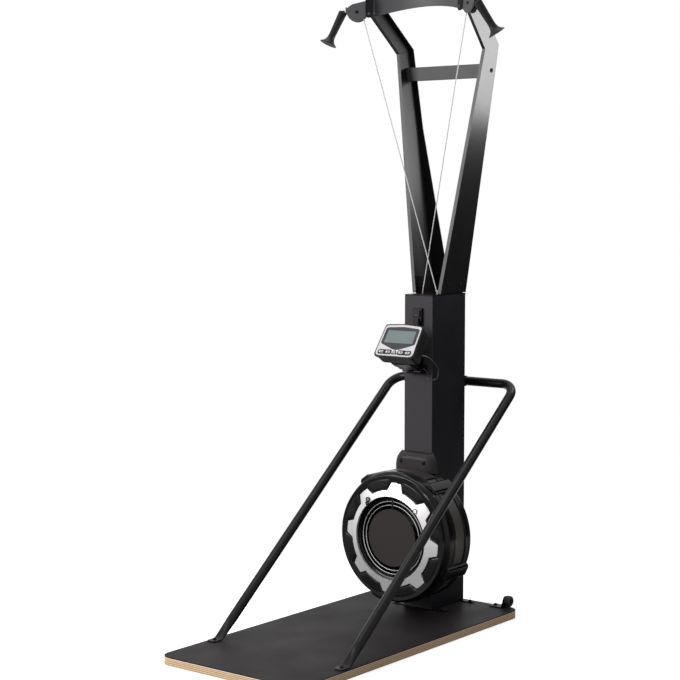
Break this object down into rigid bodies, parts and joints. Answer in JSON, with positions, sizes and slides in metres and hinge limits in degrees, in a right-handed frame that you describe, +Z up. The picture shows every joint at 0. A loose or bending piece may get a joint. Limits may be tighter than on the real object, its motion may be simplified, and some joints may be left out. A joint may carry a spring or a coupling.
{
  "type": "ski trainer machine",
  "caption": "Stand-up ski trainer: plywood platform, boxed mast with an air fan and damper ring, cord drive over a raised head, tilting monitor and pull handles.",
  "frame": {"origin": "middle of the platform's underside", "axes": "+Z up the mast, +Y from the user towards the mast, +X to the user's right"},
  "size_m": [0.7464, 1.2851, 2.27],
  "materials": {
    "plywood": "satin lacquer, plies showing on the edge",
    "mat": "matt, fine grain",
    "black_paint": "glossy black powder coat",
    "grey_paint": "satin dark grey paint",
    "black_plastic": "moulded, fine grain",
    "dark_plastic": "moulded, matt",
    "silver_plastic": "silver paint",
    "steel": "bright",
    "nylon": "moulded",
    "cord": "braided",
    "rubber": "matt",
    "lcd": "grey-green liquid crystal display behind clear plastic"
  },
  "bodies": {
    "frame": {"platform_board": "plywood", "platform_mat": "mat", "mast_base_plate": "black_paint", "mast_channel": "black_paint", "mast_front_cover": "grey_paint", "mast_top_cap": "black_paint", "left_return_cord": "rubber", "right_return_cord": "rubber", "front_shaft_bearing": "steel", "rear_shaft_bearing": "steel", "fan_rear_shell": "black_plastic", "fan_mesh_band": "steel", "fan_front_shell": "black_plastic", "hub_disc": "dark_plastic", "inlet_grille": "steel", "neck_hood": "black_plastic", "support_tube": "black_paint", "support_saddle": "black_paint", "right_arm": "black_paint", "left_arm": "black_paint", "crossbar": "black_paint", "bow_plate": "grey_paint", "right_ear_bracket": "grey_paint", "left_ear_bracket": "grey_paint", "right_sheave_bolt": "black_paint", "left_sheave_bolt": "black_paint", "right_cord_bush": "black_plastic", "left_cord_bush": "black_plastic", "left_drive_cord": "cord", "right_drive_cord": "cord", "monitor_bracket": "black_paint", "monitor_pivot_pin": "steel", "monitor_cable": "rubber", "right_wheel_bracket": "black_paint", "left_wheel_bracket": "black_paint"},
    "fan": {"fan_wheel": "black_plastic", "fan_shaft": "steel"},
    "damper": {"damper_ring": "silver_plastic", "damper_grip_ring": "black_plastic"},
    "monitor": {"monitor_housing": "black_plastic", "monitor_bezel": "silver_plastic", "monitor_screen": "lcd"},
    "button_1": {"monitor_button_1": "black_plastic"},
    "button_2": {"monitor_button_2": "black_plastic"},
    "button_3": {"monitor_button_3": "black_plastic"},
    "button_4": {"monitor_button_4": "black_plastic"},
    "button_5": {"monitor_button_5": "black_plastic"},
    "left_wheel": {"left_transport_wheel": "rubber"},
    "right_wheel": {"right_transport_wheel": "rubber"},
    "left_pull": {"left_cord_stop": "black_plastic"},
    "right_pull": {"right_cord_stop": "black_plastic"},
    "left_grip": {"left_handle": "black_plastic"},
    "right_grip": {"right_handle": "black_plastic"},
    "left_sheave_wheel": {"left_sheave": "nylon"},
    "right_sheave_wheel": {"right_sheave": "nylon"},
    "left_roller": {"left_guide_roller": "nylon"},
    "right_roller": {"right_guide_roller": "nylon"},
    "left_drum": {"left_cord_drum": "black_plastic"},
    "right_drum": {"right_cord_drum": "black_plastic"}
  },
  "joints": [
    {"name": "fan_spin", "type": "hinge", "parent": "frame", "child": "fan", "pos_m": [0, 0.35, 0.315], "axis": [0, 1, 0], "continuous": true},
    {"name": "damper_turn", "type": "hinge", "parent": "frame", "child": "damper", "pos_m": [0, 0.25, 0.315], "axis": [0, 1, 0], "range_deg": [-22.5, 22.5]},
    {"name": "monitor_tilt", "type": "hinge", "parent": "frame", "child": "monitor", "pos_m": [0, 0.35, 0.985], "axis": [1, 0, 0], "range_deg": [-20, 20], "deforming": ["monitor_cable"]},
    {"name": "button_1_press", "type": "slide", "parent": "monitor", "child": "button_1", "axis": [0, 0.8271, -0.5621], "range_m": [0, 0.0012], "stiffness_N_per_m": 400},
    {"name": "button_2_press", "type": "slide", "parent": "monitor", "child": "button_2", "axis": [0, 0.8271, -0.5621], "range_m": [0, 0.0012], "stiffness_N_per_m": 400},
    {"name": "button_3_press", "type": "slide", "parent": "monitor", "child": "button_3", "axis": [0, 0.8271, -0.5621], "range_m": [0, 0.0012], "stiffness_N_per_m": 400},
    {"name": "button_4_press", "type": "slide", "parent": "monitor", "child": "button_4", "axis": [0, 0.8271, -0.5621], "range_m": [0, 0.0012], "stiffness_N_per_m": 400},
    {"name": "button_5_press", "type": "slide", "parent": "monitor", "child": "button_5", "axis": [0, 0.8271, -0.5621], "range_m": [0, 0.0012], "stiffness_N_per_m": 400},
    {"name": "left_wheel_spin", "type": "hinge", "parent": "frame", "child": "left_wheel", "pos_m": [-0.2535, 0.6275, 0.051], "axis": [1, 0, 0], "continuous": true},
    {"name": "right_wheel_spin", "type": "hinge", "parent": "frame", "child": "right_wheel", "pos_m": [0.2535, 0.6275, 0.051], "axis": [1, 0, 0], "continuous": true},
    {"name": "left_pull", "type": "slide", "parent": "frame", "child": "left_pull", "axis": [0, -0.3, -0.9539], "range_m": [0, 1.1], "stiffness_N_per_m": 8, "springref_m": -0.6},
    {"name": "right_pull", "type": "slide", "parent": "frame", "child": "right_pull", "axis": [0, -0.3, -0.9539], "range_m": [0, 1.1], "stiffness_N_per_m": 8, "springref_m": -0.6},
    {"name": "left_grip_swing", "type": "hinge", "parent": "left_pull", "child": "left_grip", "pos_m": [-0.29374, 0.34033, 2.198], "axis": [0.146, -0.9437, 0.2968], "range_deg": [0, 20]},
    {"name": "right_grip_swing", "type": "hinge", "parent": "right_pull", "child": "right_grip", "pos_m": [0.29374, 0.34033, 2.198], "axis": [-0.7313, 0.6506, -0.2046], "range_deg": [0, 50]},
    {"name": "left_sheave_spin", "type": "hinge", "parent": "frame", "child": "left_sheave_wheel", "pos_m": [-0.24616, 0.36252, 2.196], "axis": [-0.4226, 0.9063, 0], "range_deg": [-4400, 4400]},
    {"name": "right_sheave_spin", "type": "hinge", "parent": "frame", "child": "right_sheave_wheel", "pos_m": [0.24616, 0.36252, 2.196], "axis": [0.4226, 0.9063, 0], "range_deg": [-4400, 4400]},
    {"name": "left_roller_spin", "type": "hinge", "parent": "frame", "child": "left_roller", "pos_m": [0.0307, 0.47235, 1.1642], "axis": [0, 1, 0], "range_deg": [-7000, 7000]},
    {"name": "right_roller_spin", "type": "hinge", "parent": "frame", "child": "right_roller", "pos_m": [-0.0307, 0.48435, 1.1642], "axis": [0, 1, 0], "range_deg": [-7000, 7000]},
    {"name": "left_drum_spin", "type": "hinge", "parent": "frame", "child": "left_drum", "pos_m": [0, 0.458, 0.315], "axis": [0, 1, 0], "range_deg": [-1600, 0]},
    {"name": "right_drum_spin", "type": "hinge", "parent": "frame", "child": "right_drum", "pos_m": [0, 0.498, 0.315], "axis": [0, 1, 0], "range_deg": [-1600, 0]}
  ],
  "couplings": [
    {"joint": "left_grip_swing", "follows": "left_pull", "rad_per_m": 0.26728},
    {"joint": "right_grip_swing", "follows": "right_pull", "rad_per_m": 0.74061},
    {"joint": "left_sheave_spin", "follows": "left_pull", "rad_per_m": -62.5},
    {"joint": "right_sheave_spin", "follows": "right_pull", "rad_per_m": 62.5},
    {"joint": "left_roller_spin", "follows": "left_pull", "rad_per_m": -97.09},
    {"joint": "right_roller_spin", "follows": "right_pull", "rad_per_m": 97.09},
    {"joint": "left_drum_spin", "follows": "left_pull", "rad_per_m": -24.39},
    {"joint": "right_drum_spin", "follows": "right_pull", "rad_per_m": -24.39}
  ]
}
